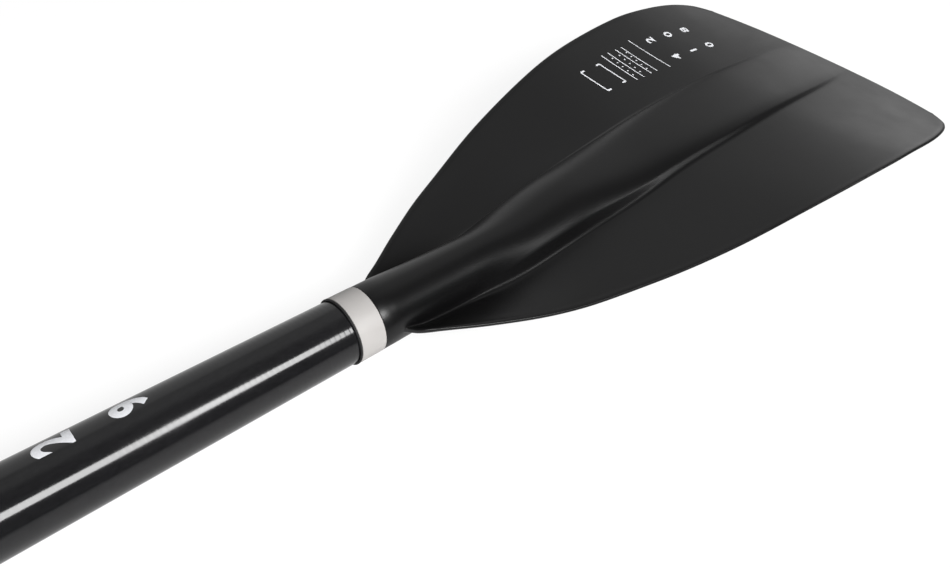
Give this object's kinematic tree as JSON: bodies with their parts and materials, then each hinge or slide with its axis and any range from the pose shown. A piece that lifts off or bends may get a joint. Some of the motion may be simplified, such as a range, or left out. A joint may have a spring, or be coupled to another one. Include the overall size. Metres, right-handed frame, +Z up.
{
  "type": "stand-up paddle, adjustable",
  "caption": "Adjustable take-apart stand-up paddle: black plastic spooned blade, wound fibreglass shaft with a pale neck band, spring button joint, cam clamp and T grip.",
  "frame": {"origin": "middle of the bounding box in plan, on the level of the flat under the grip's bar, which is the box's bottom", "axes": "+X along the shaft towards the blade's tip, +Z up, away from the floor, on the side the blade's edges curl to; the shaft's axis lies 18.2 mm above the origin"},
  "size_m": [1.693, 0.208, 0.0555],
  "materials": {
    "blade_plastic": "black, fine satin grain",
    "shaft_lacquer": "black wound fibreglass under clear gloss lacquer",
    "band_rubber": "pale grey, matt",
    "black_rubber": "black, matt",
    "black_plastic": "black, moulded, satin",
    "steel": "stainless, satin",
    "foam": "pale closed-cell foam, matt",
    "grip_rubber": "dark grey, soft, matt"
  },
  "bodies": {
    "shaft": {"blade": "blade_plastic", "cam_washer": "black_rubber", "clamp_collar": "black_plastic", "clamp_liner": "black_rubber", "clamp_screw": "steel", "joint_ferrule": "black_plastic", "joint_ring": "black_plastic", "lever_axle": "steel", "lower_foam_plug": "foam", "lower_shaft": "shaft_lacquer", "middle_foam_plug": "foam", "middle_shaft": "shaft_lacquer", "neck_band": "band_rubber", "neck_seal": "black_rubber", "spring_clip": "steel"},
    "handle": {"handle_tube": "shaft_lacquer", "handle_guide_plug": "black_plastic", "handle_foam_plug": "foam", "grip_body": "black_plastic", "palm_pad": "grip_rubber", "grip_pin": "steel"},
    "lever": {"clamp_lever": "black_plastic"},
    "button": {"snap_button": "steel"}
  },
  "joints": [
    {"name": "handle_slide", "type": "slide", "parent": "shaft", "child": "handle", "axis": [-1, 0, 0], "range_m": [0, 0.42]},
    {"name": "lever_hinge", "type": "hinge", "parent": "shaft", "child": "lever", "pos_m": [-0.60055, 0.016, 0.0407], "axis": [1, 0, 0], "range_deg": [0, 150]},
    {"name": "button_press", "type": "slide", "parent": "shaft", "child": "button", "axis": [0, 0, -1], "range_m": [0, 0.0045], "stiffness_N_per_m": 800, "deforming": ["spring_clip"]}
  ]
}
